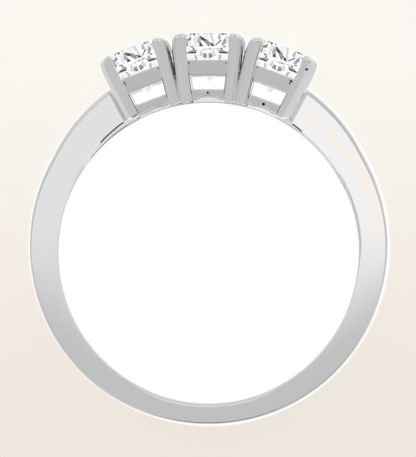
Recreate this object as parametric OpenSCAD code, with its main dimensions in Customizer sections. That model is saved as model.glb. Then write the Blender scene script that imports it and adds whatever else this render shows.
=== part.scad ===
// Three stone ring. A band with thicker shoulders carries three four-prong basket heads,
// each with an upper and a lower rail and one square cut-corner stone.
// The origin is the centre of the finger hole, at half the band's width.
// +Z runs along the finger, +Y points to the centre stone, and sizes are in millimetres.

/* [Finger hole and band] */
// Inside diameter of the band, which sets the finger size
finger_d = 17.3; // [15:0.1:21]
// Width of the band along the finger
band_w = 2.2; // [1.8:0.1:2.6]
// Thickness of the band opposite the stones
back_t = 1.25; // [1:0.05:1.6]
// Thickness of the band at its two sides
side_t = 1.69; // [1.4:0.01:2]
// Thickness of the shoulders, were they to run on to the top of the ring
shoulder_t = 2.62; // [2.2:0.02:2.8]
// How much smaller the radius of the shoulders' outline is than the radius of the rim
shoulder_inset = 0.42; // [0.3:0.02:0.6]
// Rounding of the band's outer edges
outer_round = 0.2; // [0.1:0.05:0.35]
// Rounding of the shoulders' outer edges
shoulder_round = 0.3; // [0.1:0.05:0.4]
// Rounding of the edges of the finger hole
inner_round = 0.28; // [0.1:0.02:0.4]
// Thickness of the band under the heads
seat_t = 0.65; // [0.5:0.05:0.8]
// Width of the band under the heads
seat_w = 1.8; // [1.5:0.1:1.8]
// Length of the slope that leads from a shoulder's side down to that width
shoulder_slope = 0.28; // [0.15:0.01:0.4]

/* [Stones] */
// Width of a stone across its flat sides
stone_w = 3.9; // [3.4:0.1:4.4]
// Length that is cut off each corner, along the side
corner_cut = 0.6; // [0.4:0.05:0.8]
// Width of the table, the flat top of a stone
table_w = 2.2; // [1.8:0.1:2.5]
// Height of the crown, from the girdle to the table
crown_h = 0.8; // [0.6:0.05:1]
// Thickness of the girdle, the stone's widest edge
girdle_t = 0.08; // [0.04:0.01:0.15]
// Depth of the pavilion, from the girdle to the point
pavilion_h = 1.8; // [1.5:0.05:2]
// Space between a stone and the seat cut for it in the metal
stone_gap = 0.04; // [0.02:0.01:0.06]

/* [Heads] */
// Width of a prong
prong_w = 0.84; // [0.7:0.02:1]
// Width of the bevel along each corner of a prong, measured along its sides
prong_bevel = 0.17; // [0.1:0.01:0.25]
// Lean of each prong away from the middle of its head, in degrees
prong_lean = 6.7; // [4:0.1:8]
// How far a stone's flat side stands out past the prongs' centre lines
prong_grip = 0.3; // [0.2:0.01:0.4]
// Height of a prong's tip above the girdle
tip_rise = 0.78; // [0.6:0.02:0.85]
// Height of the prongs' lower ends above the finger hole
foot_rise = 0.06; // [0.05:0.01:0.2]
// Height of the upper edge of the girdle above the finger hole
girdle_rise = 3.23; // [3:0.05:3.6]
// Space between neighbouring heads at the girdle
head_gap = 0.17; // [0.1:0.01:0.3]

/* [Rails] */
// Height of an upper rail
upper_rail_h = 0.93; // [0.6:0.01:1]
// Drop from the girdle to the top of the upper rail
upper_rail_drop = 0.76; // [0.7:0.01:0.85]
// Height of the lower rail's top above the finger hole
lower_rail_rise = 0.78; // [0.75:0.01:0.95]
// Height of the lower rail's underside above the finger hole
rail_foot_rise = 0.24; // [0.2:0.01:0.3]
// Thickness of both rails
rail_t = 0.5; // [0.4:0.05:0.6]
// How far the rails stand out past the prongs' centre lines
rail_out = 0.1; // [0.02:0.01:0.15]
// Radius of the arch under the lower rail
arch_r = 1.5; // [1.3:0.05:1.8]
// Height of the arch's peak above the finger hole
arch_rise = 0.47; // [0.4:0.01:0.55]

/* [Casting pits] */
// Diameter of the small pits left in the metal
pit_d = 0.13; // [0.1:0.01:0.16]
// Depth of the small pits
pit_depth = 0.16; // [0.1:0.01:0.2]
// Height of the pits in the lower rails above the finger hole
pit_rise = 0.58; // [0.56:0.01:0.64]

/* [Hidden] */
$fn = 96;

finger_r = finger_d / 2;

// Two circles about centres set towards the stones give the band its outline
rim_r = finger_r + side_t;
rim_shift = side_t - back_t;
shoulder_r = rim_r - shoulder_inset;
shoulder_shift = finger_r + shoulder_t - shoulder_r;

// Heights in a head, measured from the ring's centre
seat_r = finger_r + seat_t;
foot_v = finger_r + foot_rise;
girdle_v = finger_r + girdle_rise;
tip_v = girdle_v + tip_rise;
upper_top_v = girdle_v - upper_rail_drop;
upper_low_v = upper_top_v - upper_rail_h;
lower_top_v = finger_r + lower_rail_rise;
rail_foot_v = finger_r + rail_foot_rise;

// Places across a head: the prongs' centre lines lean out from the foot to the tip
prong_at_girdle = stone_w / 2 - prong_grip;
function prong_at(v) = prong_at_girdle - (girdle_v - v) * tan(prong_lean);
prong_len = (tip_v - foot_v) / pow(cos(prong_lean), 2);
head_pitch = 2 * atan((prong_at_girdle + prong_w / 2 + head_gap / 2) / girdle_v);

// How far the cut between the shoulders runs on past both ends of a prong, so that it
// reaches the finger hole at the top of the ring too
trough_over = foot_v * (1 - cos(head_pitch + prong_lean)) + prong_w / 2;

// Rings of a stone from the table down: half width and corner cut as shares of the
// girdle's, and height as a share of the crown, or of the pavilion below the girdle
crown_rings = [
    // width share, cut share, height share
    [0.82, 0.85, 0.55],
    [1, 1, 0]
];
pavilion_rings = [
    // width share, cut share, depth share
    [1, 1, 0],
    [0.6, 0.62, 0.48]
];

// One octagon of a stone, at a height over the girdle's upper edge
function octagon(half, cut, z) = [
    [half, -half + cut, z], [half, half - cut, z],
    [half - cut, half, z], [-half + cut, half, z],
    [-half, half - cut, z], [-half, -half + cut, z],
    [-half + cut, -half, z], [half - cut, -half, z]
];

// All corners of a stone that is larger by grow on every side
function stone_points(grow) = concat(
    octagon(table_w / 2 + grow, corner_cut * table_w / stone_w, crown_h + grow),
    [for (ring = crown_rings)
        each octagon(ring[0] * stone_w / 2 + grow, ring[1] * corner_cut, ring[2] * crown_h)],
    [for (ring = pavilion_rings)
        each octagon(ring[0] * stone_w / 2 + grow, ring[1] * corner_cut,
                     -girdle_t - ring[2] * pavilion_h)],
    [[0, 0, -girdle_t - pavilion_h - grow]]
);

ring_count = 1 + len(crown_rings) + len(pavilion_rings);
last_ring = (ring_count - 1) * 8;
stone_faces = concat(
    [[for (i = [7:-1:0]) i]],
    [for (k = [0:ring_count - 2], i = [0:7])
        [k * 8 + i, k * 8 + (i + 1) % 8, (k + 1) * 8 + (i + 1) % 8, (k + 1) * 8 + i]],
    [for (i = [0:7]) [last_ring + i, last_ring + (i + 1) % 8, ring_count * 8]]
);

// A stone with its girdle at its place in a head that points along +Y
module cut_stone(grow = 0) {
    translate([0, girdle_v, 0])
        rotate([-90, 0, 0])
            polyhedron(points = stone_points(grow), faces = stone_faces, convexity = 2);
}

// The half section of a disc with rounded edges, right of the axis
module disc_section(radius, round_r) {
    square([radius - round_r, band_w / 2]);
    square([radius, band_w / 2 - round_r]);
    translate([radius - round_r, band_w / 2 - round_r])
        circle(round_r);
}

// A disc of the band's width, with rounded edges, about a centre set towards the stones
module rounded_disc(radius, round_r, shift) {
    translate([0, shift, 0])
        rotate_extrude()
            for (side = [0, 1])
                mirror([0, side])
                    disc_section(radius, round_r);
}

// The finger hole with its rounded mouths
module finger_hole() {
    cylinder(r = finger_r, h = 3 * band_w, center = true);
    rotate_extrude()
        for (side = [0, 1])
            mirror([0, side])
                difference() {
                    translate([finger_r - inner_round, band_w / 2 - inner_round])
                        square([2 * inner_round, 2 * inner_round]);
                    translate([finger_r + inner_round, band_w / 2 - inner_round])
                        circle(inner_round);
                }
}

// Moves what it holds from a prong's lower end, pointing along +Y, to the outer side of
// the right head, and repeats it mirrored at the left head
module beside_outer_prongs() {
    for (side = [0, 1])
        mirror([side, 0, 0])
            rotate(-head_pitch)
                translate([prong_at(foot_v), foot_v, 0])
                    rotate(-prong_lean)
                        children();
}

// What is cut away for the heads, up to the centre lines of the outer prongs
module head_trough() {
    beside_outer_prongs()
        translate([-2 * stone_w, -trough_over, -band_w])
            cube([2 * stone_w, prong_len + 2 * trough_over, 2 * band_w]);
}

// What is cut away to thin a shoulder's end, so that it fits between two prongs
module shoulder_thinning() {
    side_u = prong_w / 2;
    beside_outer_prongs()
        translate([0, -trough_over, 0])
            rotate([-90, 0, 0])
                linear_extrude(prong_len + 2 * trough_over)
                    for (face = [0, 1])
                        mirror([0, face])
                            polygon([
                                [-side_u, seat_w / 2],
                                [side_u, seat_w / 2],
                                [side_u + shoulder_slope, band_w / 2],
                                [side_u + shoulder_slope, band_w],
                                [-side_u, band_w]
                            ]);
}

// The band: an eccentric ring with shoulders, thinner and narrower under the heads
module shank() {
    difference() {
        union() {
            rounded_disc(rim_r, outer_round, rim_shift);
            rounded_disc(shoulder_r, shoulder_round, shoulder_shift);
        }
        head_trough();
        shoulder_thinning();
        finger_hole();
    }
    cylinder(r = seat_r, h = seat_w, center = true);
}

// The outline of a bar along +Y with a round tip and a bevelled foot
module bar_outline() {
    half = prong_w / 2;
    polygon([
        [-half + prong_bevel, 0],
        [half - prong_bevel, 0],
        [half, prong_bevel],
        [half, prong_len - half],
        [-half, prong_len - half],
        [-half, prong_bevel]
    ]);
    translate([0, prong_len - half])
        circle(half);
}

// The section of a prong: a square with bevelled corners
module bar_section() {
    half = prong_w / 2;
    flat = half - prong_bevel;
    polygon([
        [half, -flat], [half, flat], [flat, half], [-flat, half],
        [-half, flat], [-half, -flat], [-flat, -half], [flat, -half]
    ]);
}

// A prong: a bevelled bar with a domed tip, leaning out on two sides
module prong() {
    translate([prong_at(foot_v), foot_v, prong_at(foot_v)])
        rotate([prong_lean, 0, -prong_lean])
            intersection() {
                linear_extrude(prong_w, center = true)
                    bar_outline();
                rotate([0, 90, 0])
                    linear_extrude(prong_w, center = true)
                        bar_outline();
                rotate([-90, 0, 0])
                    linear_extrude(prong_len)
                        bar_section();
            }
}

// A square rail around a head, between two heights
module rail(low_v, high_v) {
    half = prong_at((low_v + high_v) / 2) + rail_out;
    translate([0, low_v, 0])
        rotate([-90, 0, 0])
            linear_extrude(high_v - low_v)
                difference() {
                    square(2 * half, center = true);
                    square(2 * (half - rail_t), center = true);
                }
}

// One basket head that points along +Y: four prongs, two rails and the arch below them
module basket_head() {
    for (across = [0, 1], along = [0, 1])
        mirror([across, 0, 0])
            mirror([0, 0, along])
                prong();
    rail(upper_low_v, upper_top_v);
    difference() {
        rail(rail_foot_v, lower_top_v);
        translate([0, finger_r + arch_rise - arch_r, 0])
            cylinder(r = arch_r, h = 2 * stone_w, center = true);
    }
}

// A pit drilled from the front into a face that lies at z
module pit(u, v, z) {
    translate([u, v, z - pit_depth])
        cylinder(d = pit_d, h = 2 * pit_depth, $fn = 24);
}

// The three pits that show: on two lower rails and near the tip of the right outer prong
module casting_pits() {
    rail_face_z = prong_at((rail_foot_v + lower_top_v) / 2) + rail_out;
    for (turn = [-1, 0])
        rotate(turn * head_pitch)
            pit(0, finger_r + pit_rise, rail_face_z);
    rotate(-head_pitch)
        pit(prong_at_girdle, girdle_v, prong_at_girdle + prong_w / 2);
}

// The band and the three heads, soldered into one piece, with the stones' seats cut in
module shank_and_heads() {
    color("silver")
        difference() {
            union() {
                shank();
                for (turn = [-1:1])
                    rotate(turn * head_pitch)
                        basket_head();
            }
            cylinder(r = finger_r, h = 2 * stone_w, center = true);
            for (turn = [-1:1])
                rotate(turn * head_pitch)
                    cut_stone(stone_gap);
            casting_pits();
        }
}

// One stone, turned to its head
module stone(turn) {
    color("lightcyan")
        rotate(turn * head_pitch)
            cut_stone();
}

shank_and_heads();
stone(1);  // stone_left
stone(0);  // stone_center
stone(-1);  // stone_right
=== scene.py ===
"""Three stone ring: polished white metal, three basket heads and three cut-corner stones.

Lengths in this file are millimetres in the ring's own frame, turned into metres where a
mesh is made. The origin is the centre of the finger hole, +Z runs along the finger and
+Y points to the centre stone.
"""
import itertools
import math

import bmesh
import bpy
import numpy as np
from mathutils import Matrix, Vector


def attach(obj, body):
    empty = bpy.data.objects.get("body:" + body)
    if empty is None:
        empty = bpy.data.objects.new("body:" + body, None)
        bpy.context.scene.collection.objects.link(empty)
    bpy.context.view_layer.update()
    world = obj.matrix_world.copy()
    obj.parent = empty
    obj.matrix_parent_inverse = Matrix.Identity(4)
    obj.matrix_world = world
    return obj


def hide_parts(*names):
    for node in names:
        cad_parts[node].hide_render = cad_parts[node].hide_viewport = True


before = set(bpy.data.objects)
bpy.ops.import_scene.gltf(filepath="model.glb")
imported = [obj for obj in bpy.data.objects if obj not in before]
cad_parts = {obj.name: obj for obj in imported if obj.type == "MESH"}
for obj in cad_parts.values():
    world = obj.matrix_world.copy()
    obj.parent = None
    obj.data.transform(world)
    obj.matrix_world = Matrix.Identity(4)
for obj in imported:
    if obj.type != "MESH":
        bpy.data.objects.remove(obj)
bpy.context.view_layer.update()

MM = 0.001

# The band: the finger hole, half the width, and the two circles of its outer edge with
# their centres' shift towards the stones
FINGER_R, HALF_W = 8.65, 1.1
RIM_R, RIM_SHIFT = 10.34, 0.44
SHOULDER_R, SHOULDER_SHIFT = 9.92, 1.35
# The side faces fall away outwards by a slope and a square term
FACE_SLOPE, FACE_BEND = 0.035, 0.013
# How far the band's ends reach past the centre lines of the outer prongs
END_INSIDE = 0.12
# Length of the slope beside those prongs, and how far the side face sinks along it
SLOPE, SLOPE_DROP = 0.22, 0.06
# The thin band under the heads, its fall outwards, and half the angle that it spans
SEAT_R, SEAT_HALF_W, SEAT_FALL, SEAT_SPAN = 9.3, 0.9, 0.06, 0.52

# The band's inner edge beside the heads, a narrow ledge with a step up to the face. A column
# is the share of the ledge's width, what is added to it, and the depth below the face
LEDGE_SHARE, LEDGE_MORE, LEDGE_DROP = np.array([
    (0, 0, 0.18), (0.07, 0, 0.137), (0.25, 0, 0.118), (0.45, 0, 0.118), (0.75, 0, 0.118),
    (1, 0, 0.118), (1, 0.075, 0.006), (1, 0.08, 0.001), (1, 0.1, 0),
]).T
LEDGE_SLOPE = 0.07
# A black line of painted shade lies on the step, from this point to the next, beyond an angle
# in degrees
SHADE_STEP_POINT = 5
SHADE_STEP_RIGHT, SHADE_STEP_LEFT = 51.5, 44.5
# The points of the band's inner and outer walls, as shares of the way up to their edges
WALL = np.array([0.0, 0.5, 0.98])

# A head, with heights measured from the ring's centre
PRONG_HALF = 0.42
LEAN = math.radians(6.7)
FOOT_V, GIRDLE_V, TIP_V = 8.71, 11.88, 12.66
PRONG_AT_GIRDLE, PRONG_TIP = 1.65, 0.5
UPPER_TOP_V, UPPER_LOW_V = 11.12, 10.19
LOWER_TOP_V, RAIL_FOOT_V = 9.43, 8.89
RAIL_OUT, RAIL_T, RAIL_TILT = 0.1, 0.5, 0.056
ARCH_R, ARCH_TOPS = 1.5, {-1: 9.0, 0: 9.08, 1: 8.96}
HEAD_PITCH = 2 * math.atan((PRONG_AT_GIRDLE + PRONG_HALF + 0.085) / GIRDLE_V)

# A stone: half its width, the height of its girdle's upper edge in a head, its own heights
# above and below that edge, and the space between it and its seat
STONE_HALF, STONE_V = 1.95, 11.79
CROWN_H, GIRDLE_T, PAVILION_H = 0.89, 0.08, 1.8
STONE_GAP = 0.03
# Where the ridges of the crown meet a side, off its middle as hand cutting leaves them
RIDGE = 0.42
# Mark of the girdle's facets, in place of their painted brightness
GIRDLE = -1.0

# Places of the metal's materials: polished, painted shade between the heads, and black painted
# shade
POLISHED, GAP_SHADE, SHADE_BLACK = 0, 1, 2

# Casting pits and specks on the heads' fronts, lined with black painted shade
PITS = [
    # place across the head, height, radius, head
    (0.0, 9.23, 0.065, 0), (0.0, 9.14, 0.09, -1), (1.65, 11.88, 0.075, -1),
    (-1.07, 10.94, 0.045, 0), (1.06, 10.94, 0.045, 0), (1.03, 10.93, 0.075, -1),
    (-1.08, 11.0, 0.04, -1), (1.09, 10.94, 0.045, 1), (-1.05, 10.86, 0.045, 1),
    (1.58, 12.46, 0.03, 0), (-1.54, 12.48, 0.03, 0), (1.6, 12.42, 0.03, 1),
    (-1.45, 12.43, 0.035, 1), (-1.49, 12.4, 0.03, -1), (1.65, 12.33, 0.03, -1),
    (-1.035, 10.78, 0.035, 1), (-1.02, 10.7, 0.03, 1), (1.0, 10.79, 0.05, -1),
]
# How far a prong's front has fallen back where the specks near its tip are
SPECK_V, SPECK_SINK = 12.2, 0.16


def smooth(low, high, x):
    """Goes from 0 at low to 1 at high along 3t squared minus 2t cubed."""
    t = np.clip((x - low) / (high - low), 0, 1)
    return t * t * (3 - 2 * t)


# Meshes


def add_mesh(name, points, faces, sharp_deg=None, finish=None):
    """A mesh object at the origin from points in millimetres, shaded smooth up to an angle,
    or flat where no angle is given. A finish is a material's place for each face."""
    mesh = bpy.data.meshes.new(name)
    mesh.from_pydata((np.asarray(points) * MM).tolist(), [], faces)
    if finish is not None:
        mesh.polygons.foreach_set("material_index", np.asarray(finish, np.int32))
    mesh.update()
    obj = bpy.data.objects.new(name, mesh)
    bpy.context.scene.collection.objects.link(obj)
    if sharp_deg:
        shade(obj, sharp_deg)
    return obj


def shade(obj, sharp_deg):
    """Smooth shading with sharp edges where two faces meet at more than an angle."""
    obj.data.shade_smooth()
    obj.data.set_sharp_from_angle(angle=math.radians(sharp_deg))


def grid_faces(rows, around, close_rows=False):
    """The quads of a grid of rows by around points whose rows close on themselves. The
    two end rows are joined to each other, or closed by one face each."""
    r = np.arange(rows if close_rows else rows - 1)[:, None]
    a = np.arange(around)[None, :]
    next_r, next_a = (r + 1) % rows, (a + 1) % around
    quads = np.stack(
        [r * around + a, r * around + next_a, next_r * around + next_a, next_r * around + a],
        axis=-1,
    ).reshape(-1, 4)
    faces = [tuple(q) for q in quads.tolist()]
    if not close_rows:
        first = np.arange(around)
        faces += [tuple(first[::-1].tolist()), tuple((first + (rows - 1) * around).tolist())]
    return faces


def rounded_polygon(corners, radii, steps=4):
    """A closed outline with each corner replaced by an arc of its own radius: the arc's
    centre lies on the corner's bisector, and its ends are the tangent points, each with a
    neighbour a hair's breadth out on the flat, which keeps the flats' shading flat."""
    corners = np.asarray(corners, float)
    radii = np.broadcast_to(np.asarray(radii, float), len(corners))[:, None]
    back = np.roll(corners, 1, axis=0) - corners
    ahead = np.roll(corners, -1, axis=0) - corners
    back /= np.linalg.norm(back, axis=1, keepdims=True)
    ahead /= np.linalg.norm(ahead, axis=1, keepdims=True)
    half = np.arccos(np.clip((back * ahead).sum(1, keepdims=True), -1, 1)) / 2
    reach = radii / np.tan(half)
    bisector = back + ahead
    bisector /= np.linalg.norm(bisector, axis=1, keepdims=True)
    centre = corners + bisector * radii / np.sin(half)
    start, end = corners + back * reach, corners + ahead * reach
    a0 = np.arctan2(*(start - centre).T[::-1])[:, None]
    a1 = np.arctan2(*(end - centre).T[::-1])[:, None]
    sweep = (a1 - a0 + np.pi) % (2 * np.pi) - np.pi
    angle = a0 + sweep * np.linspace(0, 1, steps + 1)[None, :]
    arc = centre[:, None, :] + radii[:, None] * np.stack([np.cos(angle), np.sin(angle)], -1)
    hair = 0.012
    arc = np.concatenate(
        [(start + back * hair)[:, None], arc, (end + ahead * hair)[:, None]], axis=1
    )
    return arc.reshape(-1, 2)


def cut_out(obj, cutter):
    """Takes the cutter's volume out of a closed mesh."""
    boolean = obj.modifiers.new("cut", "BOOLEAN")
    boolean.operation = "DIFFERENCE"
    boolean.solver = "EXACT"
    boolean.object = cutter
    graph = bpy.context.evaluated_depsgraph_get()
    mesh = bpy.data.meshes.new_from_object(obj.evaluated_get(graph))
    obj.modifiers.clear()
    obj.data = mesh


def join(name, parts):
    """One object from several, which are removed."""
    with bpy.context.temp_override(
        active_object=parts[0], selected_editable_objects=parts, object=parts[0]
    ):
        bpy.ops.object.join()
    parts[0].name = name
    parts[0].data.name = name
    return parts[0]


def turned(points, turn):
    """Points of a head that points along +Y, turned about the finger axis to the left head
    (1), the centre head (0) or the right head (-1)."""
    a = turn * HEAD_PITCH
    u, v, w = np.moveaxis(np.asarray(points, float), -1, 0)
    return np.stack([u * np.cos(a) - v * np.sin(a), u * np.sin(a) + v * np.cos(a), w], -1)


def add_metals(obj):
    """Gives a mesh the metal's materials, in the order of their places."""
    for material in (METAL, GAP_SHADE_MATERIAL, BLACK_SHADE_MATERIAL):
        obj.data.materials.append(material)


# The band


def outline_radius(angle):
    """Distance from the finger hole's centre to the band's outer edge at an angle from +X:
    the larger of the distances to the rim's and the shoulders' circles, blended softly, and
    a trace more where the lower half is fullest, by the square of the double angle's sine."""

    def circle(shift, radius):
        return shift * np.sin(angle) + np.sqrt(radius**2 - (shift * np.cos(angle)) ** 2)

    rim, shoulder = circle(RIM_SHIFT, RIM_R), circle(SHOULDER_SHIFT, SHOULDER_R)
    full = 0.05 * np.sin(2 * angle) ** 2 * (np.sin(angle) < 0)
    return (rim + shoulder + np.sqrt((rim - shoulder) ** 2 + 0.02**2)) / 2 + full


def prong_at(v):
    """Place of a prong's centre line across the head at a height."""
    return PRONG_AT_GIRDLE - (GIRDLE_V - v) * np.tan(LEAN)


def band_end():
    """Angles from +X at the right head: of the outer prongs' lean, and of the place on the
    finger hole where their centre line meets it."""
    direction = np.pi / 2 - HEAD_PITCH - LEAN
    offset = prong_at(FOOT_V) * math.cos(LEAN) - FOOT_V * math.sin(LEAN)
    return direction, direction - math.asin(offset / FINGER_R)


def band_rows():
    """Where the band's rows start on the finger hole, from the right end round to the left
    one: the angles, mirrored to the right half, and which rows are on the right. The rows
    are close together beside the prongs and at both ends of the slope."""
    end_angle = band_end()[1]
    side, slope = PRONG_HALF / FINGER_R, SLOPE / FINGER_R
    around = np.array([-1, 0, 1])
    near = np.concatenate([
        [-END_INSIDE / FINGER_R], side + 0.004 * around,
        side + slope * np.array([0.35, 0.65]), side + slope + 0.003 * around,
    ])
    rest = end_angle - near[-1] + np.pi / 2
    away = np.concatenate([near, near[-1] + rest * np.linspace(0, 1, 150)[1:] ** 1.08])
    away = np.concatenate([away, 2 * (end_angle + np.pi / 2) - away[-2::-1]])
    angle = end_angle - away
    right = angle > -np.pi / 2
    return np.where(right, angle, -np.pi - angle), right


def band_section(mirrored, right, thick):
    """The section of each row, from the middle of the inner wall over the upper side to the
    outer wall: ways out from the finger hole, heights, and whether the row's step gets a black
    line of painted shade.
    Both edges are round, and beside the heads a ledge takes the inner rounding's place."""
    arc = np.linspace(0, np.pi / 2, 9)
    share = np.array([0.01, 0.12, 0.25, 0.38, 0.5, 0.62, 0.75, 0.88, 0.99])
    degrees = np.degrees(mirrored)

    # What changes along the band: the radii of the edges, the ledge's strength and width,
    # and the level of the side face, 0 beside the prongs and 1 beyond the slope
    foot = 1 - smooth(-1.3, -1.0, mirrored)
    worn_right, worn_left = smooth(-0.2, 0.1, mirrored), smooth(0.55, 0.85, mirrored)
    inner_r = 0.08 + 0.16 * foot + np.where(right, 0.16 * worn_right, 0.12 * worn_left)
    outer_r = 0.11 + 0.17 * smooth(-0.1, 0.9, mirrored) + 0.06 * foot
    ledge = np.where(right, smooth(0.25, 0.6, mirrored), smooth(0.35, 0.7, mirrored))
    width_right = np.clip(0.01 * degrees - 0.37, 0.13, 0.19)
    width = np.where(right, width_right, np.clip(0.0075 * degrees - 0.125, 0.14, 0.29))
    way = (band_end()[1] - mirrored) * FINGER_R
    level = np.clip((way - PRONG_HALF) / SLOPE, 0, 1)
    step_shaded = (level == 1) & (degrees > np.where(right, SHADE_STEP_RIGHT, SHADE_STEP_LEFT))
    inner_r, outer_r, ledge, width, level, thick = (
        values[:, None] for values in (inner_r, outer_r, ledge, width, level, thick)
    )

    out_ledge = LEDGE_SHARE * width + LEDGE_MORE
    out_in = inner_r * (1 - np.cos(arc)) * (1 - ledge) + out_ledge * ledge
    out_last = thick - outer_r * (1 - np.sin(arc))
    out_mid = out_in[:, -1:] + share * (out_last[:, :1] - out_in[:, -1:])
    face = np.concatenate([out_in, out_mid, out_last], axis=1)
    out = np.concatenate([0 * WALL * thick, face, thick + 0 * WALL], axis=1)

    drop_ledge = LEDGE_DROP * (0.5 + 0.5 * level) + LEDGE_SLOPE * width * (1 - LEDGE_SHARE)
    drop_in = inner_r * (1 - np.sin(arc)) * (1 - ledge) + drop_ledge * ledge
    drop = np.concatenate([drop_in, 0 * out_mid, outer_r * (1 - np.cos(arc))], axis=1)
    top = HALF_W - SLOPE_DROP * (1 - level) - FACE_SLOPE * face - FACE_BEND * face**2 - drop
    height = np.concatenate([WALL * top[:, :1], top, WALL[::-1] * top[:, -1:]], axis=1)
    return out, height, step_shaded


def make_shank():
    """The band from one shoulder's end round to the other. Each row lies on a ray from the
    finger hole to the outer edge, turned to the prongs' lean near the heads."""
    direction, end_angle = band_end()
    mirrored, right = band_rows()
    bend_start = (PRONG_HALF + SLOPE) / FINGER_R
    bend = 1 - smooth(bend_start, bend_start + 0.5, end_angle - mirrored)
    ray = mirrored + (direction - mirrored) * bend
    inner = FINGER_R * np.stack([np.cos(mirrored), np.sin(mirrored)], -1)
    ahead = np.stack([np.cos(ray), np.sin(ray)], -1)
    thick = outline_radius(mirrored) - FINGER_R
    for _ in range(4):
        outer = inner + ahead * thick[:, None]
        angle = np.arctan2(outer[:, 1], outer[:, 0])
        thick = thick + outline_radius(angle) - np.linalg.norm(outer, axis=1)

    # The section's lower side mirrors its upper side
    out, height, step_shaded = band_section(mirrored, right, thick)
    lower = slice(-2, 0, -1)
    out = np.concatenate([out, out[:, lower]], axis=1)
    height = np.concatenate([height, -height[:, lower]], axis=1)
    flat = inner[:, None, :] + ahead[:, None, :] * out[:, :, None]
    flat[~right, :, 0] *= -1
    points = np.concatenate([flat, height[:, :, None]], axis=-1)

    rows, around = out.shape
    finish = np.full((rows - 1, around), POLISHED)
    # Rows whose step gets the black painted shade, on the upper and the lower side
    step_shaded = step_shaded[:-1] & step_shaded[1:]
    step = len(WALL) + SHADE_STEP_POINT
    finish[step_shaded, step] = finish[step_shaded, -1 - step] = SHADE_BLACK
    finish = np.append(finish.reshape(-1), [POLISHED, POLISHED])
    shank = add_mesh("shank", points.reshape(-1, 3), grid_faces(rows, around), 32, finish)
    add_metals(shank)
    return shank


def make_seat_band():
    """The thin band under the heads: a rounded section, a little narrower outwards, that is
    carried round the finger hole."""
    inner, outer = SEAT_HALF_W, SEAT_HALF_W - SEAT_FALL
    corners = [(FINGER_R, -inner), (SEAT_R, -outer), (SEAT_R, outer), (FINGER_R, inner)]
    section = rounded_polygon(corners, [0.06, 0.04, 0.04, 0.06])
    radius, w = section.T
    angle = np.pi / 2 + np.linspace(-SEAT_SPAN, SEAT_SPAN, 49)[:, None]
    points = np.stack([radius * np.cos(angle), radius * np.sin(angle), w + 0 * angle], -1)
    return add_mesh("seat_band", points.reshape(-1, 3), grid_faces(49, len(section)), 40)


# The heads


def make_prong(power, cut, round_out, gap_shade_deg, foot=0.14, foot_power=3):
    """A prong at +u, +w, with its faces and their finish. Its section is the rounded square of
    size h, |u| to the power p plus |w| to the power p = h to the power p, with a lower power on
    the outer corner, whose points are drawn in to the line u + w = 2h - cut. The section
    shrinks to a dome at the tip and to a round foot along (1 - t to the power q) to the power
    1/q, later in depth than across, and its centre slides towards the stone, which makes the
    outer side the rounder one. The outer flank gets painted shade up to an angle in degrees,
    and a black line of painted shade runs down the corner beside the window."""
    h, tip = PRONG_HALF, PRONG_TIP
    turn = np.linspace(0, 2 * np.pi, 57)[:-1]
    side_u, side_w = np.cos(turn), np.sin(turn)
    p = np.where((side_u > 0) & (side_w > 0), power, 8)
    section = h * np.stack([
        np.sign(side_u) * np.abs(side_u) ** (2 / p), np.sign(side_w) * np.abs(side_w) ** (2 / p)
    ], -1)
    section *= np.minimum(1, (2 * h - cut) / np.maximum(section.sum(axis=1), h))[:, None]

    # Rows from the foot to the tip, and how much of the section is left in each
    length = (TIP_V - FOOT_V) / math.cos(LEAN) ** 2
    rise = np.sin(np.linspace(0, np.pi / 2, 17))
    low = foot * (1 - rise[::-1])
    high = length - tip * (1 - rise)
    along = np.concatenate([low, np.linspace(foot, length - tip, 12)[1:-1], high])
    up = np.clip((along - (length - tip)) / tip, 0, 0.996)
    down = np.clip((foot - along) / foot, 0, 0.996)
    across = (1 - up**2.5) ** (1 / 2.5) * (1 - down**foot_power) ** (1 / foot_power)
    deep = (1 - up**7) ** (1 / 7) * (1 - down**4) ** (1 / 4)
    foot_slide = 0.3 * (down > 0) * (foot_power < 3)
    slide = h * (1 - across) * np.where(up > 0, round_out, foot_slide)
    slide = slide + 0.1 * smooth(length - 1.2, length, along)

    v = FOOT_V + along * math.cos(LEAN) ** 2
    at = prong_at(v)
    centre = np.stack([at - slide, v, at - round_out * h * (1 - deep) * (up > 0)], -1)
    side_u = np.array([math.cos(LEAN), -math.sin(LEAN), 0])
    side_w = np.array([0, -math.sin(LEAN), math.cos(LEAN)])
    scaled = np.stack([across, deep], -1)[:, None, :] * section[None]
    points = centre[:, None, :] + scaled[..., :1] * side_u + scaled[..., 1:] * side_w

    faces = grid_faces(len(along), len(section))
    degrees = np.degrees((turn + np.pi) % (2 * np.pi) - np.pi)
    # The flank that faces the next head gets the painted shade between heads
    flank = np.where(np.abs(degrees) < gap_shade_deg, GAP_SHADE, POLISHED)
    # A black line of painted shade runs down the corner beside the window
    window_shade_line = (degrees > 127) & (degrees < 149)
    beside_window = ((v > RAIL_FOOT_V) & (v < UPPER_LOW_V))[:-1, None]
    finish = np.where(beside_window & window_shade_line, SHADE_BLACK, flank)
    return points, faces, np.append(finish.reshape(-1), [POLISHED, POLISHED])


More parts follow.
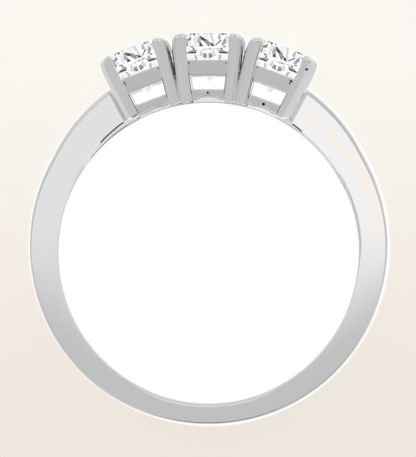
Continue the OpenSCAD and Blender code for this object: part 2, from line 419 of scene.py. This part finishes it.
def make_rail(profile, radii, steps=24, arch_top=None):
    """A square rail. Its profile gives, for each point, the distance in from the prongs'
    lean line and the height, and its outer side is tilted a little further out than they
    lean. The four sides meet in mitres inside the prongs. Where the rail is arched, its
    underside is raised to the arch's circle."""
    section = rounded_polygon(profile, radii)
    inward, v = section[:, 0], section[:, 1]
    s = np.linspace(-1, 1, steps + 1)[:-1, None]

    def reach(height):
        return prong_at(height) + RAIL_OUT - inward + (height - v.mean()) * RAIL_TILT

    height = v + 0 * s
    if arch_top:
        circle = arch_top - ARCH_R + np.sqrt(np.maximum(ARCH_R**2 - (s * reach(v)) ** 2, 0))
        raised = np.maximum(circle - RAIL_FOOT_V, 0)
        height = np.where(v < LOWER_TOP_V - 0.2, v + raised, height)
    half = reach(height)
    along = s * half
    sides = [
        np.stack([along, height, half], -1), np.stack([half, height, -along], -1),
        np.stack([-along, height, -half], -1), np.stack([-half, height, along], -1),
    ]
    points = np.concatenate(sides)
    return points, grid_faces(4 * steps, len(section), close_rows=True)


def outward(obj):
    """Turns a closed mesh the right way out."""
    bm = bmesh.new()
    bm.from_mesh(obj.data)
    bmesh.ops.recalc_face_normals(bm, faces=bm.faces)
    bm.to_mesh(obj.data)
    bm.free()


def facet_solid(normals, distances):
    """The convex solid that facets leave. The corners are the meeting points of three
    facets that lie inside all the others, and each face is the corners on its facet, in
    order of their angle about its middle. Also gives each face's facet."""
    n, d = np.array(normals), np.array(distances)
    trios = np.array(list(itertools.combinations(range(len(n)), 3)))
    m = n[trios]
    good = np.abs(np.linalg.det(m)) > 1e-6
    corners = np.linalg.solve(m[good], d[trios[good]][..., None])[..., 0]
    corners = corners[(corners @ n.T <= d + 1e-6).all(axis=1)]
    apart = np.linalg.norm(corners[:, None] - corners[None], axis=2)
    corners = corners[np.unique((apart < 2e-4).argmax(axis=1))]
    faces, kept = [], []
    for i, (normal, distance) in enumerate(zip(n, d)):
        on = np.flatnonzero(np.abs(corners @ normal - distance) < 3e-4)
        if len(on) < 3:
            continue
        flat = corners[on] - corners[on].mean(axis=0)
        across = flat[0] / np.linalg.norm(flat[0])
        beside = np.cross(normal, across)
        faces.append(tuple(on[np.argsort(np.arctan2(flat @ beside, flat @ across))].tolist()))
        kept.append(i)
    return corners, faces, kept


def girdle_reach(azimuth):
    """Distance from the stone's axis to the tangent of its outline, the rounded square
    x to the 4th plus y to the 4th, whose dual has the powers 4/3."""
    a = math.radians(azimuth)
    return STONE_HALF * (abs(math.cos(a)) ** (4 / 3) + abs(math.sin(a)) ** (4 / 3)) ** 0.75


def side_reach(turn, at):
    """Distance from the stone's axis to a facet that is turned from a flat side by some
    degrees and touches that side at a place along it."""
    a = math.radians(turn)
    return STONE_HALF * math.cos(a) + at * math.sin(a)


def stone_facets():
    """The facets of a square stone with soft corners, in its own axes with the table up.
    A row is azimuth, slope of its normal from straight up, distance from the axis at a height,
    that height, and how bright it is painted."""
    low, tip = -GIRDLE_T, -GIRDLE_T - PAVILION_H
    rows = [(0, 0, 0, CROWN_H, 0.9)]
    rows += [(15 * i, 90, girdle_reach(15 * i), 0, GIRDLE) for i in range(24)]
    for side in (0, 90, 180, 270):
        for turn, slope in ((-1.5, 44), (1.5, 44), (-5, 49.3), (5, 46.3)):
            rows.append((side + turn, slope, side_reach(turn, RIDGE), 0, 0.9))
        for way in (-1, 1):
            rows.append((side + 4 * way, 180 - 58, side_reach(4, 0.35), low, 0.96))
            rows.append((side + 6 * way, 180 - 42, 0, tip, 1.0))
            rows.append((side + 16 * way, 180 - 41.3, 0, tip, 1.0))
        # The soft corner beside it, and the stars at the table's corners
        corner = side + 45
        rows.append((corner, 39, girdle_reach(45), 0, 0.75))
        rows.append((corner, 180 - 38, 0, tip, 1.0))
        for way in (-1, 1):
            reach = girdle_reach(45 - 12)
            rows.append((corner + 12 * way, 53, reach, 0, 0.6))
            rows.append((corner + 12 * way, 180 - 56, reach, low, 0.8))
            rows.append((corner + 22.5 * way, 26, 1.36, CROWN_H - 0.06, 0.5))
    return np.array(rows)


# Painted reflections: what a stone's side gives back of its other facets, as glints. How bright
# each glint is painted, and its corners, as places across the side and heights from the girdle
CROWN_GLINTS = [
    # the table's edge
    (0.6, (-1.1, 0.865), (1.1, 0.865), (1.1, 0.9), (-1.1, 0.9)),
    # white and pale panes
    (1.0, (0.26, 0.86), (0.6, 0.86), (0.46, 0.2), (0.42, 0.12)),
    (1.0, (-0.36, 0.5), (-0.35, 0.33), (-0.23, 0.1), (0.03, 0.1)),
    (1.0, (-0.97, 0.8), (-0.9, 0.62), (-0.72, 0.62), (-0.6, 0.74), (-0.66, 0.86)),
    (1.0, (0.5, 0.14), (0.8, 0.44), (0.86, 0.38), (0.72, 0.12)),
    (0.7, (-0.86, 0.62), (-0.53, 0.74), (-0.61, 0.1), (-0.74, 0.1)),
    (0.78, (-0.5, 0.74), (-0.2, 0.83), (-0.02, 0.8), (0.1, 0.4)),
    (0.56, (0.05, 0.86), (0.24, 0.86), (0.42, 0.2), (0.3, 0.24)),
    (0.68, (-1.08, 0.36), (-0.97, 0.36), (-0.97, 0.12), (-1.08, 0.12)),
    # grey panes
    (0.3, (-0.52, 0.74), (-0.61, 0.38), (-0.45, 0.14), (-0.36, 0.34)),
    (0.35, (0.6, 0.82), (0.7, 0.82), (0.75, 0.5), (0.54, 0.5)),
    (0.22, (0.99, 0.64), (1.08, 0.38), (0.94, 0.15), (0.79, 0.15), (0.86, 0.4)),
    # dark slivers
    (0.0, (-0.51, 0.75), (0.02, 0.45), (-0.02, 0.27), (-0.41, 0.5)),
    (0.18, (-0.1, 0.5), (0.14, 0.34), (0.14, 0.1), (0.03, 0.1), (-0.22, 0.38)),
    (0.0, (0.12, 0.34), (0.3, 0.26), (0.44, 0.11), (0.22, 0.1)),
    (0.0, (-0.39, 0.35), (-0.5, 0.1), (-0.24, 0.09)),
    (0.0, (0.43, 0.16), (0.74, 0.49), (0.8, 0.43), (0.48, 0.13)),
    (0.0, (-0.94, 0.86), (-0.72, 0.86), (-0.78, 0.69)),
    (0.1, (-0.61, 0.87), (-0.51, 0.87), (-0.56, 0.77)),
    (0.0, (0.72, 0.87), (0.97, 0.87), (0.87, 0.78), (0.78, 0.78)),
    # the corners' shade
    (0.06, (-1.22, 0.5), (-1.0, 0.7), (-0.95, 0.48), (-1.17, 0.38)),
    (0.14, (-1.25, 0.4), (-1.15, 0.36), (-1.13, 0.08), (-1.24, 0.08)),
    (0.02, (-0.98, 0.11), (-0.8, 0.1), (-0.8, 0.03), (-0.98, 0.03)),
    (0.02, (0.88, 0.11), (1.06, 0.11), (1.06, 0.04), (0.88, 0.04)),
]
PAVILION_GLINTS = [
    # given for the right half of a side, and mirrored
    (0.28, (0.6, -0.1), (0.86, -0.1), (1.16, -0.26), (0.66, -0.26)),
    (0.0, (0.64, -0.23), (1.12, -0.21), (1.18, -0.31), (0.7, -0.31)),
    (0.58, (0.26, -0.13), (0.4, -0.15), (0.49, -0.44), (0.32, -0.47)),
    (0.26, (0.05, -0.29), (0.24, -0.28), (0.31, -0.5), (0.06, -0.59)),
    (0.2, (0.07, -0.42), (0.27, -0.42), (0.3, -0.5), (0.07, -0.56)),
    (0.42, (0.66, -0.4), (0.8, -0.38), (0.71, -0.66), (0.6, -0.66)),
    (0.0, (0.72, 0.0), (0.88, 0.0), (0.8, -0.12)),
]


def lay_glints(bm, layer):
    """Splits the sides of a stone along the outlines of the glints, each carried straight in
    from the side, and marks the faces inside an outline with its painted brightness. The stone
    keeps its shape."""
    glints = [(clear, np.array(spots)) for clear, *spots in CROWN_GLINTS + PAVILION_GLINTS]
    glints += [(clear, np.array(spots) * (-1, 1)) for clear, *spots in PAVILION_GLINTS]
    for side, (clear, spots) in itertools.product(range(4), glints):
        a = side * math.pi / 2
        ahead = Vector((math.cos(a), math.sin(a), 0))
        right, up = Vector((-ahead.y, ahead.x, 0)), Vector((0, 0, 1))
        ahead_spots = np.roll(spots, -1, axis=0)
        area = (spots[:, 0] * ahead_spots[:, 1] - spots[:, 1] * ahead_spots[:, 0]).sum()
        faces = [f for f in bm.faces if f.normal.dot(ahead) > 0.3 and f.normal.z < 0.95]
        for (t0, h0), (t1, h1) in zip(spots, ahead_spots):
            spot = right * t0 + up * h0
            inward = (up * (t1 - t0) - right * (h1 - h0)) * math.copysign(1, area)
            parts = {part for f in faces for part in (f, *f.edges, *f.verts)}
            cut = bmesh.ops.bisect_plane(
                bm, geom=list(parts), dist=1e-5, plane_co=spot, plane_no=inward
            )
            faces = [
                f for f in cut["geom"] if isinstance(f, bmesh.types.BMFace)
                and (f.calc_center_median() - spot).dot(inward) > 0
            ]
        for f in faces:
            f[layer] = clear


def stone_mesh(name, turn, grow=0.0):
    """A stone, or the seat that a grown one cuts, moved to its head. Each face keeps its
    painted brightness, and the girdle is frosted."""
    azimuth, slope, reach, height, clear = stone_facets().T
    a, lean = np.radians(azimuth), np.radians(slope)
    normals = np.stack([np.cos(a) * np.sin(lean), np.sin(a) * np.sin(lean), np.cos(lean)], -1)
    distances = reach * np.sin(lean) + height * np.cos(lean) + grow
    corners, faces, kept = facet_solid(normals, distances)
    bm = bmesh.new()
    layer = bm.faces.layers.float.new("painted_facet_light")
    corners = [bm.verts.new(corner) for corner in corners.tolist()]
    if grow:
        bmesh.ops.convex_hull(bm, input=corners)
    else:
        for face, mark in zip(faces, clear[kept]):
            made = bm.faces.new([corners[i] for i in face])
            made[layer] = max(mark, 0)
            made.material_index = int(mark == GIRDLE)
        bm.normal_update()
        lay_glints(bm, layer)
    bm.verts.index_update()
    points = np.array([v.co for v in bm.verts])
    points = np.stack([points[:, 0], STONE_V + points[:, 2], -points[:, 1]], -1)
    stone = add_mesh(
        name, turned(points, turn), [tuple(v.index for v in f.verts) for f in bm.faces],
        finish=[f.material_index for f in bm.faces],
    )
    marks = np.array([f[layer] for f in bm.faces], np.float32)
    stone.data.attributes.new("painted_facet_light", "FLOAT", "FACE").data.foreach_set("value", marks)
    bm.free()
    return stone


def pit_cutter(u, v, radius, turn):
    """A short round drill that stands on the front of a head."""
    a = np.linspace(0, 2 * np.pi, 17)[:-1]
    ring = np.stack([u + radius * np.cos(a), v + radius * np.sin(a)], -1)
    front = prong_at(v) + (PRONG_HALF if abs(u) > 1.2 else RAIL_OUT)
    depth = 2.5 * radius + (SPECK_SINK if v > SPECK_V else 0)
    low = np.concatenate([ring, np.full((16, 1), front - depth)], 1)
    high = np.concatenate([ring, np.full((16, 1), front + 0.3)], 1)
    faces = grid_faces(2, 16)
    points = turned(np.concatenate([low, high]), turn)
    # The drill lines the pit that it cuts with black painted shade
    cutter = add_mesh("pit", points, faces, finish=[SHADE_BLACK] * len(faces))
    outward(cutter)
    return cutter


def make_basket(name, turn):
    """One head: four prongs and two rails, with the stone's seat and the pits cut in."""
    shells = []
    # The prongs' flanks that face a neighbouring head get painted shade, up to an angle
    for across, front in itertools.product((1, -1), (1, -1)):
        if across * turn < 0:
            power, cut = (3, 0.3) if turn > 0 else (8, 0.4)
            made = make_prong(power, cut, 0.6, gap_shade_deg=0, foot=0.36, foot_power=2)
        elif across > 0:
            made = make_prong(2.8, 0.24, 0.45, gap_shade_deg=50 if turn else 30)
        else:
            made = make_prong(4, 0.1, 0.45, gap_shade_deg=48)
        points, faces, finish = made
        shells.append((points.reshape(-1, 3) * (across, 1, front), faces, finish))
    for low, high, radii, arch_top in (
        (UPPER_LOW_V, UPPER_TOP_V, [0.1, 0.05, 0.05, 0.05], None),
        (RAIL_FOOT_V, LOWER_TOP_V, [0.05, 0.05, 0.05, 0.06], ARCH_TOPS[turn]),
    ):
        profile = [(0, low), (RAIL_T, low), (RAIL_T, high), (0, high)]
        points, faces = make_rail(profile, radii, arch_top=arch_top)
        shells.append((points.reshape(-1, 3), faces, None))
    seat = stone_mesh("seat", turn, STONE_GAP)
    drills = [pit_cutter(u, v, r, t) for u, v, r, t in PITS if t == turn]
    parts = []
    for points, faces, finish in shells:
        part = add_mesh("part", turned(points, turn), faces, finish=finish)
        add_metals(part)
        outward(part)
        for cutter in [seat] + drills:
            cut_out(part, cutter)
        parts.append(part)
    for cutter in [seat] + drills:
        bpy.data.objects.remove(cutter)
    basket = join(name, parts)
    shade(basket, 30)
    return basket


# Materials


class Maths:
    """A socket's value in a node tree, with the operators that make Math nodes."""

    def __init__(self, tree, socket):
        self.tree, self.socket = tree, socket

    def node(self, kind, inputs=(), out=0, **settings):
        """Adds a node with settings and inputs, each a value or a link; gives an output."""
        made = self.tree.nodes.new(kind)
        for key, value in settings.items():
            setattr(made, key, value)
        for key, value in dict(inputs).items():
            if isinstance(value, Maths):
                self.tree.links.new(value.socket, made.inputs[key])
            else:
                made.inputs[key].default_value = value
        return Maths(self.tree, made.outputs[out])

    def math(self, operation, *values):
        return self.node("ShaderNodeMath", enumerate(values), operation=operation)

    def __add__(self, other):
        return self.math("ADD", self, other)

    def __radd__(self, other):
        return self.math("ADD", other, self)

    def __sub__(self, other):
        return self.math("SUBTRACT", self, other)

    def __rsub__(self, other):
        return self.math("SUBTRACT", other, self)

    def __mul__(self, other):
        return self.math("MULTIPLY", self, other)

    def __rmul__(self, other):
        return self.math("MULTIPLY", other, self)

    def __truediv__(self, other):
        return self.math("DIVIDE", self, other)

    def step(self, low, high):
        """Goes smoothly from 0 where the value is low to 1 where it is high."""
        return self.node(
            "ShaderNodeMapRange", {0: self, 1: low, 2: high}, interpolation_type="SMOOTHSTEP"
        )

    def mix(self, first, second):
        """A colour between two, by this value."""
        return self.node(
            "ShaderNodeMix", {0: self, 6: first, 7: second}, out=2, data_type="RGBA"
        )


def coordinates(tree, output):
    """One output of a tree's Texture Coordinate node."""
    node = tree.nodes.new("ShaderNodeTexCoord")
    return Maths(tree, node.outputs[output])


def split(tree, vector):
    """The first two parts of a vector."""
    x = vector.node("ShaderNodeSeparateXYZ", {0: vector})
    return x, Maths(tree, x.socket.node.outputs[1])


def new_material(name):
    """A material with its Principled shader, and its Object coordinates."""
    material = bpy.data.materials.new(name)
    material.use_nodes = True
    tree = material.node_tree
    return material, tree, tree.nodes["Principled BSDF"], coordinates(tree, "Object")


def white_metal():
    """Polished white metal with the faintest unevenness that hand polishing leaves. A faint
    warm reflection is painted into the colour along the right shoulder's side, between two
    radii and two heights."""
    material, tree, shader, place = new_material("polished_white_metal")
    cloud = place.node("ShaderNodeTexNoise", {"Vector": place, "Scale": 900.0, "Detail": 3.0})
    tree.links.new((cloud * 0.05 + 0.06).socket, shader.inputs["Roughness"])
    x, y = split(tree, place)
    radius = x.math("SQRT", x * x + y * y)
    # Where the warm reflection is painted: between these radii and heights
    inner = 9.45 * MM + 0.25 * MM * y.step(5.5 * MM, 8 * MM)
    painted_sheen = (radius - inner).step(0, 0.08 * MM) * radius.step(10.18 * MM, 10.08 * MM)
    painted_sheen = painted_sheen * y.step(0.3 * MM, 1.1 * MM) * y.step(8.3 * MM, 8 * MM) * x.step(0, MM)
    tone = painted_sheen.mix((0.9, 0.9, 0.905, 1), (0.94, 0.9, 0.83, 1))
    tree.links.new(tone.socket, shader.inputs["Base Color"])
    shader.inputs["Metallic"].default_value = 1
    return material


def painted_gap_shade():
    """The flanks between two heads, painted with the shade that falls between them: greyer,
    with a fine dark grain, and this painted shade thins out towards the prongs' tips and feet."""
    material, tree, shader, place = new_material("painted_gap_shade")
    grain = place.node("ShaderNodeTexNoise", {"Vector": place, "Scale": 5200.0, "Detail": 2.0})
    tone = grain.step(0.38, 0.62).mix((0.26, 0.26, 0.265, 1), (0.66, 0.66, 0.66, 1))
    height = place.node("ShaderNodeVectorMath", {0: place}, out=1, operation="LENGTH")
    # The painted shade is full between these heights
    shade_band = height.step(12.4 * MM, 11.9 * MM) * height.step(9.8 * MM, 10.8 * MM)
    tone = shade_band.mix((0.8, 0.8, 0.8, 1), tone)
    tree.links.new(tone.socket, shader.inputs["Base Color"])
    shader.inputs["Metallic"].default_value = 1
    shader.inputs["Roughness"].default_value = 0.3
    return material


def painted_black_shade():
    """Black painted shade in the casting pits, down the prongs' corners beside the windows and
    on the band's step.
    """
    material, tree, shader, place = new_material("painted_black_shade")
    grain = place.node("ShaderNodeTexNoise", {"Vector": place, "Scale": 9000.0})
    tone = grain.mix((0.01, 0.01, 0.01, 1), (0.04, 0.04, 0.038, 1))
    tree.links.new(tone.socket, shader.inputs["Base Color"])
    shader.inputs["Roughness"].default_value = 0.8
    shader.inputs["Specular IOR Level"].default_value = 0.1
    return material


def clear_stone():
    """Clear, bright stone with flat polished facets. Each facet's colour is painted as bright
    as its own mark says, with a little more of the blue, and the facet glows by it: painted
    reflections and glints."""
    material, tree, shader, place = new_material("clear_stone")
    clear = place.node("ShaderNodeAttribute", attribute_name="painted_facet_light", out=2)
    shades = [clear.math("POWER", clear, power) for power in (1.03, 1.01, 0.92)]
    tint = clear.node("ShaderNodeCombineColor", enumerate(shades))
    tree.links.new(tint.socket, shader.inputs["Base Color"])
    tree.links.new(tint.socket, shader.inputs["Emission Color"])
    # The facets glow by their painted brightness
    shader.inputs["Emission Strength"].default_value = 0.31
    shader.inputs["Specular IOR Level"].default_value = 0.25
    shader.inputs["Roughness"].default_value = 0
    shader.inputs["IOR"].default_value = 2.417
    shader.inputs["Transmission Weight"].default_value = 0.25
    return material


def frosted_girdle():
    """The stone's edge, ground but not polished: bright, with dark specks."""
    material, tree, shader, place = new_material("frosted_girdle")
    grain = place.node("ShaderNodeTexNoise", {"Vector": place, "Scale": 7000.0, "Detail": 1.0})
    tone = grain.step(0.44, 0.52).mix((0.02, 0.022, 0.026, 1), (0.9, 0.92, 0.95, 1))
    tree.links.new(tone.socket, shader.inputs["Base Color"])
    shader.inputs["Roughness"].default_value = 0.35
    shader.inputs["IOR"].default_value = 2.417
    shader.inputs["Transmission Weight"].default_value = 0.8
    return material


METAL, GAP_SHADE_MATERIAL, BLACK_SHADE_MATERIAL = white_metal(), painted_gap_shade(), painted_black_shade()
STONE, STONE_EDGE = clear_stone(), frosted_girdle()


def dress(obj, material, slot, *nodes):
    """Gives a piece its material, and lets it ride and stand for its CAD node. The slot is not
    used.
    """
    if not obj.data.materials:
        obj.data.materials.append(material)
    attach(obj, "root")
    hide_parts(*nodes)


dress(make_shank(), METAL, "white_metal", "shank_and_heads")
dress(make_seat_band(), METAL, "white_metal", "shank_and_heads")
for side, turn in (("left", 1), ("center", 0), ("right", -1)):
    dress(make_basket("basket_" + side, turn), METAL, "white_metal", "shank_and_heads")
    stone = stone_mesh("cut_stone_" + side, turn)
    for material in (STONE, STONE_EDGE):
        stone.data.materials.append(material)
    dress(stone, STONE, "clear_stone", "stone_" + side)


# The floor, the light and the camera


def ring_footprint(x, y):
    """The mask of the floor's painted pool of light: 1 on the floor under the ring and its
    finger hole, 0 beyond a hair outside them. The band is two circles, and a head is a strip
    below the table's height, as wide as the prongs' lean lets it be there."""
    margin, soft, corner = 0.09 * MM, 0.05 * MM, 0.55 * MM
    under = None
    for radius, shift in ((RIM_R + 0.03, RIM_SHIFT), (SHOULDER_R, SHOULDER_SHIFT)):
        off = y - shift * MM
        reach = x.math("SQRT", x * x + off * off)
        edge = radius * MM + margin
        disc = reach.step(edge + soft, edge - soft)
        under = disc if under is None else disc.math("MAXIMUM", under, disc)
    for turn in (1, 0, -1):
        a = turn * HEAD_PITCH
        u = x * math.cos(a) + y * math.sin(a)
        v = y * math.cos(a) - x * math.sin(a)
        beside = u.math("ABSOLUTE", u) - v * math.tan(LEAN) - (prong_at(0) + PRONG_HALF) * MM
        past = [w.math("MAXIMUM", w + corner, 0) for w in (beside, v - TIP_V * MM)]
        reach = u.math("SQRT", past[0] * past[0] + past[1] * past[1]) - corner
        strip = reach.step(margin + soft, margin - soft) * v.step(0, MM)
        under = strip.math("MAXIMUM", under, strip)
    return under


# Height of the floor under the band's edge opposite the stones, and its fall towards them
FLOOR_Z, FLOOR_LEAN = -1.12, 0.0465


def make_floor():
    """A flat floor that the ring rests on: it touches the band's edge opposite the stones and
    the outer prongs' tips, so it leans by under three degrees in the ring's frame. A white pool
    of painted light in the ring's own outline lies under it, where the ring's shadow falls."""
    x, y = np.array([[-600, -600], [600, -600], [600, 600], [-600, 600]], float).T
    z = FLOOR_Z - FLOOR_LEAN * (y + 9.9)
    floor = add_mesh("floor", np.stack([x, y, z], -1), [(0, 1, 2, 3)])
    material, tree, shader, place = new_material("pale_floor")
    x, y = split(tree, place)
    warm = y.step(14.7 * MM, -11.8 * MM).mix((0.97, 0.945, 0.89, 1), (0.872, 0.81, 0.735, 1))
    radius = x.math("SQRT", x * x + y * y)
    far = radius.step(17 * MM, 30 * MM).mix(warm, (0.72, 0.72, 0.72, 1))
    # The painted pool of light is half a percent larger than the ring, and shifted by less than
    # 0.1 mm
    light_pool_x = x * 0.995 + y * 0.0023 + 0.077 * MM
    light_pool = ring_footprint(light_pool_x, y * 0.995 + 0.007 * MM)
    colour = light_pool.mix(far, (1.05, 1.05, 1.05, 1))
    pale = colour.node("ShaderNodeVectorMath", {0: colour, 3: 0.22}, operation="SCALE")
    shader.inputs["Roughness"].default_value = 1
    shader.inputs["Specular IOR Level"].default_value = 0
    tree.links.new(pale.socket, shader.inputs["Base Color"])
    tree.links.new(colour.socket, shader.inputs["Emission Color"])
    shader.inputs["Emission Strength"].default_value = 0.855
    floor.data.materials.append(material)


# Round soft boxes and dark flags of the studio
LOBES = [
    # azimuth from +X, elevation, radius of the full part, radius of its edge, gain
    (270, 24, 9, 26, -0.56),
    (0, 22, 4, 18, -0.38),
    (306, 62, 3, 14, -0.5),
    (205, 48, 8, 20, -0.2),
    (165, 40, 8, 22, -0.16),
    (40, 35, 8, 30, -0.16),
]


def make_world():
    """Soft studio light that depends on direction alone: even grey, a brighter window
    overhead, a little towards the stones, and round soft boxes and flags."""
    world = bpy.data.worlds.new("studio")
    bpy.context.scene.world = world
    world.use_nodes = True
    tree = world.node_tree
    direction = coordinates(tree, "Generated")
    x = direction.node("ShaderNodeSeparateXYZ", {0: direction})
    y, z = (Maths(tree, x.socket.node.outputs[i]) for i in (1, 2))
    window = y.step(-0.085, 0.02) * y.step(0.27, 0.18)
    window = window * x.step(-0.4, -0.28) * x.step(0.33, 0.21)
    window = window * (0.25 + 0.15 * x.step(-0.13, 0.01))
    overhead = 0.58 + window + 0.06 * y.step(-0.19, -0.235) - 0.12 * y.step(-0.25, -0.3)
    high = z.step(0.8, 0.95)
    light = high * overhead + (1 - high) * 0.69
    for azimuth, elevation, full, edge, gain in LOBES:
        a, e = math.radians(azimuth), math.radians(elevation)
        centre = (math.cos(e) * math.cos(a), math.cos(e) * math.sin(a), math.sin(e))
        near = direction.node(
            "ShaderNodeVectorMath", {0: direction, 1: centre}, out=1, operation="DOT_PRODUCT"
        )
        rim, middle = (math.cos(math.radians(angle)) for angle in (edge, full))
        light = light + gain * near.step(rim, middle)
    grey = direction.node("ShaderNodeCombineColor", {0: light, 1: light, 2: light})
    tree.links.new(grey.socket, tree.nodes["Background"].inputs["Color"])


def make_camera():
    """Looks down the finger axis, a little from the right, through a long lens."""
    data = bpy.data.cameras.new("camera")
    camera = bpy.data.objects.new("camera", data)
    bpy.context.scene.collection.objects.link(camera)
    yaw, distance = math.radians(2.8), 325.0
    picture_height, pixels_per_mm = 457, 17.28
    target = np.array([-0.06, 1.40, 0.0])
    place = target + distance * np.array([math.sin(yaw), 0, math.cos(yaw)])
    camera.location = place * MM
    camera.rotation_euler = (0, yaw, 0)
    data.sensor_width = 36
    data.lens = data.sensor_width * distance / (picture_height / pixels_per_mm)
    data.clip_start, data.clip_end = 0.01, 5
    bpy.context.scene.camera = camera


make_floor()
make_world()
make_camera()
bpy.context.scene.view_settings.view_transform = "Standard"
bpy.context.scene.cycles.max_bounces = 24
bpy.context.scene.cycles.transmission_bounces = 16
bpy.context.scene.cycles.glossy_bounces = 8
